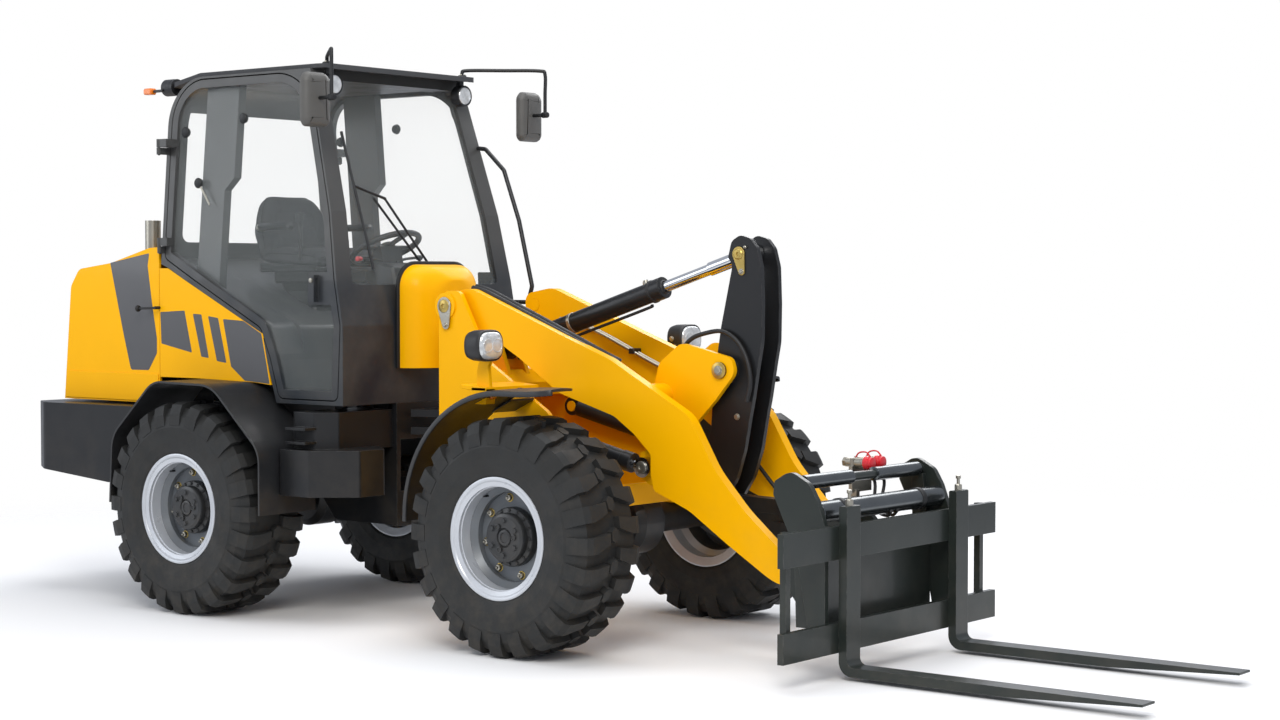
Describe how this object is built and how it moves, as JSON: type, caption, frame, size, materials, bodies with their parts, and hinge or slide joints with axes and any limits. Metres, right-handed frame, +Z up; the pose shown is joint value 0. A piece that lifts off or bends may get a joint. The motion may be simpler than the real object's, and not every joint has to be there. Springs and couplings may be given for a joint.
{
  "type": "articulated wheel loader with pallet fork",
  "caption": "Compact articulated wheel loader with a glazed cab, lift arms and a bellcrank linkage that carry a pallet fork.",
  "frame": {"origin": "on the ground under the middle of the machine's overall length and width", "axes": "+X forwards, +Y to the left, +Z up"},
  "size_m": [6.22, 1.854, 2.6666],
  "materials": {
    "yellow_paint": "glossy golden yellow machine paint",
    "black_paint": "satin black chassis paint",
    "crank_paint": "satin black paint",
    "carriage_paint": "satin anthracite paint",
    "chrome_rod": "polished hard chrome",
    "coupling_steel": "plated steel",
    "fender_plastic": "grained black plastic",
    "lamp_housing": "black plastic with clear lens",
    "cab_paint": "dark grey paint",
    "roof_plastic": "dark grey moulded plastic",
    "glass": "clear tinted safety glass",
    "seat_fabric": "black and grey seat cloth",
    "console_plastic": "black moulded plastic",
    "exhaust_steel": "bright steel tube",
    "tyre_rubber": "black rubber with industrial lugs",
    "rim_paint": "silver painted steel"
  },
  "bodies": {
    "rear_frame": {"rear_frame": "black_paint", "rear_axle": "black_paint", "counterweight": "black_paint", "engine_block": "black_paint", "rear_fenders": "fender_plastic", "side_boxes": "black_paint", "cab_frame": "cab_paint", "cab_roof": "roof_plastic", "cab_windows": "glass", "seat": "seat_fabric", "steering_console": "console_plastic", "front_cover": "yellow_paint", "side_panels": "yellow_paint", "mirrors": "fender_plastic", "work_lamps": "lamp_housing", "hand_rail": "fender_plastic", "wiper": "fender_plastic"},
    "front_frame": {"front_frame": "yellow_paint", "front_axle": "black_paint", "front_fenders": "fender_plastic", "headlamps": "lamp_housing"},
    "boom": {"boom": "yellow_paint"},
    "bellcrank": {"bellcrank": "crank_paint"},
    "tilt_link": {"tilt_link": "black_paint"},
    "fork_coupler": {"quick_coupler": "carriage_paint", "fork_carriage": "carriage_paint", "fork_tines": "carriage_paint", "hydraulic_couplings": "coupling_steel"},
    "tilt_barrel": {"tilt_barrel": "black_paint"},
    "tilt_rod": {"tilt_rod": "chrome_rod"},
    "lift_barrel_left": {"lift_barrel_left": "black_paint"},
    "lift_rod_left": {"lift_rod_left": "chrome_rod"},
    "lift_barrel_right": {"lift_barrel_right": "black_paint"},
    "lift_rod_right": {"lift_rod_right": "chrome_rod"},
    "steer_barrel": {"steer_barrel": "black_paint"},
    "steer_rod": {"steer_rod": "chrome_rod"},
    "hood": {"hood": "yellow_paint", "exhaust_pipe": "exhaust_steel"},
    "door_left": {"door_frame_left": "cab_paint", "door_glass_left": "glass"},
    "door_right": {"door_frame_right": "cab_paint", "door_glass_right": "glass"},
    "wheel_front_left": {"tyre_front_left": "tyre_rubber", "rim_front_left": "rim_paint"},
    "wheel_front_right": {"tyre_front_right": "tyre_rubber", "rim_front_right": "rim_paint"},
    "wheel_rear_left": {"tyre_rear_left": "tyre_rubber", "rim_rear_left": "rim_paint"},
    "wheel_rear_right": {"tyre_rear_right": "tyre_rubber", "rim_rear_right": "rim_paint"}
  },
  "joints": [
    {"name": "articulation", "type": "hinge", "parent": "rear_frame", "child": "front_frame", "pos_m": [-0.65, 0, 0.7], "axis": [0, 0, 1], "range_deg": [-40, 40]},
    {"name": "wheel_front_left_spin", "type": "hinge", "parent": "front_frame", "child": "wheel_front_left", "pos_m": [0.369, 0.732, 0.51], "axis": [0, 1, 0], "continuous": true},
    {"name": "wheel_front_right_spin", "type": "hinge", "parent": "front_frame", "child": "wheel_front_right", "pos_m": [0.369, -0.732, 0.51], "axis": [0, 1, 0], "continuous": true},
    {"name": "wheel_rear_left_spin", "type": "hinge", "parent": "rear_frame", "child": "wheel_rear_left", "pos_m": [-1.669, 0.732, 0.51], "axis": [0, 1, 0], "continuous": true},
    {"name": "wheel_rear_right_spin", "type": "hinge", "parent": "rear_frame", "child": "wheel_rear_right", "pos_m": [-1.669, -0.732, 0.51], "axis": [0, 1, 0], "continuous": true},
    {"name": "boom_lift", "type": "hinge", "parent": "front_frame", "child": "boom", "pos_m": [-0.43, 0, 1.482], "axis": [0, -1, 0], "range_deg": [0, 80]},
    {"name": "fork_tilt", "type": "hinge", "parent": "boom", "child": "fork_coupler", "pos_m": [1.52, 0, 0.39], "axis": [0, 1, 0], "range_deg": [-40, 85]},
    {"name": "bellcrank_turn", "type": "hinge", "parent": "boom", "child": "bellcrank", "pos_m": [0.97, 0, 1.213], "axis": [0, -1, 0], "range_deg": [-14.3, 29.3]},
    {"name": "tilt_link_turn", "type": "hinge", "parent": "bellcrank", "child": "tilt_link", "pos_m": [0.85, 0, 0.64], "axis": [0, -1, 0], "range_deg": [-35, 16.5]},
    {"name": "tilt_barrel_swing", "type": "hinge", "parent": "front_frame", "child": "tilt_barrel", "pos_m": [-0.39, 0, 1.27], "axis": [0, -1, 0], "range_deg": [-1, 74.7]},
    {"name": "tilt_rod_slide", "type": "slide", "parent": "tilt_barrel", "child": "tilt_rod", "axis": [0.9542, 0, 0.299], "range_m": [-0.1681, 0.0818]},
    {"name": "lift_barrel_left_swing", "type": "hinge", "parent": "front_frame", "child": "lift_barrel_left", "pos_m": [-0.2, 0.289, 1], "axis": [0, -1, 0], "range_deg": [-1, 80.5]},
    {"name": "lift_rod_left_slide", "type": "slide", "parent": "lift_barrel_left", "child": "lift_rod_left", "axis": [0.9727, 0, -0.2321], "range_m": [-0.005, 0.6915]},
    {"name": "lift_barrel_right_swing", "type": "hinge", "parent": "front_frame", "child": "lift_barrel_right", "pos_m": [-0.2, -0.289, 1], "axis": [0, -1, 0], "range_deg": [-1, 80.5]},
    {"name": "lift_rod_right_slide", "type": "slide", "parent": "lift_barrel_right", "child": "lift_rod_right", "axis": [0.9727, 0, -0.2321], "range_m": [-0.005, 0.6915]},
    {"name": "steer_barrel_swing", "type": "hinge", "parent": "rear_frame", "child": "steer_barrel", "pos_m": [-1.17, 0.1, 0.7], "axis": [0, 0, 1], "range_deg": [-6, 6]},
    {"name": "steer_rod_slide", "type": "slide", "parent": "steer_barrel", "child": "steer_rod", "axis": [0.9906, 0.1366, 0], "range_m": [-0.1184, 0.1184]},
    {"name": "hood_lift", "type": "hinge", "parent": "rear_frame", "child": "hood", "pos_m": [-2.15, 0, 1.772], "axis": [0, 1, 0], "range_deg": [0, 50]},
    {"name": "door_left_swing", "type": "hinge", "parent": "rear_frame", "child": "door_left", "pos_m": [-2.128, 0.622, 1.7], "axis": [0, 0, 1], "range_deg": [0, 150]},
    {"name": "door_right_swing", "type": "hinge", "parent": "rear_frame", "child": "door_right", "pos_m": [-2.128, -0.622, 1.7], "axis": [0, 0, -1], "range_deg": [0, 150]}
  ],
  "couplings": [
    {"joint": "bellcrank_turn", "follows": "fork_tilt", "ratio": 0.3326},
    {"joint": "tilt_link_turn", "follows": "fork_tilt", "ratio": -0.4},
    {"joint": "tilt_rod_slide", "follows": "fork_tilt", "m_per_rad": -0.10995},
    {"joint": "tilt_barrel_swing", "follows": "boom_lift", "ratio": 0.9211},
    {"joint": "lift_barrel_left_swing", "follows": "boom_lift", "ratio": 0.9942},
    {"joint": "lift_rod_left_slide", "follows": "boom_lift", "m_per_rad": 0.49168},
    {"joint": "lift_barrel_right_swing", "follows": "boom_lift", "ratio": 0.9942},
    {"joint": "lift_rod_right_slide", "follows": "boom_lift", "m_per_rad": 0.49168},
    {"joint": "steer_barrel_swing", "follows": "articulation", "ratio": 0.1245},
    {"joint": "steer_rod_slide", "follows": "articulation", "m_per_rad": -0.16248}
  ]
}
